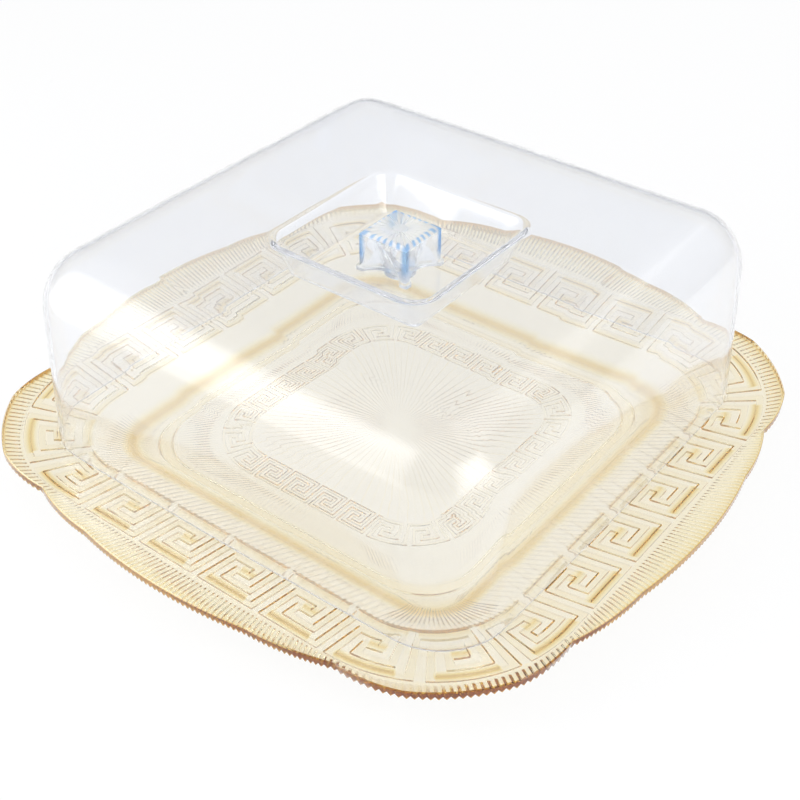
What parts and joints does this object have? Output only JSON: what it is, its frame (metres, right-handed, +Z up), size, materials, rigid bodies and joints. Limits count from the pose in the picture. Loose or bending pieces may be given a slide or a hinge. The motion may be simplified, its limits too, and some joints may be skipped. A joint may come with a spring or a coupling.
{
  "type": "cake stand with dome",
  "caption": "Square cake tray with a scalloped, fluted rim and a Greek key band, under a clear lift-off dome with a knob in a sunken well.",
  "frame": {"origin": "middle of the foot ring's bottom face, on the surface that the tray stands on", "axes": "+Z up along the dome's lift and the tray's axis; X and Y run square to the tray's sides"},
  "size_m": [0.356, 0.356, 0.1228],
  "materials": {
    "amber_plastic": "clear champagne plastic, polished, with a moulded relief below",
    "clear_plastic": "clear polished thin plastic",
    "crystal_plastic": "clear polished plastic with a blue cast on its bevels"
  },
  "bodies": {
    "tray": {"tray": "amber_plastic"},
    "dome": {"dome": "clear_plastic", "knob": "crystal_plastic", "knob_retainer": "crystal_plastic"}
  },
  "joints": [
    {"name": "dome_lift", "type": "slide", "parent": "tray", "child": "dome", "axis": [0, 0, 1], "range_m": [0, 0.2]}
  ]
}
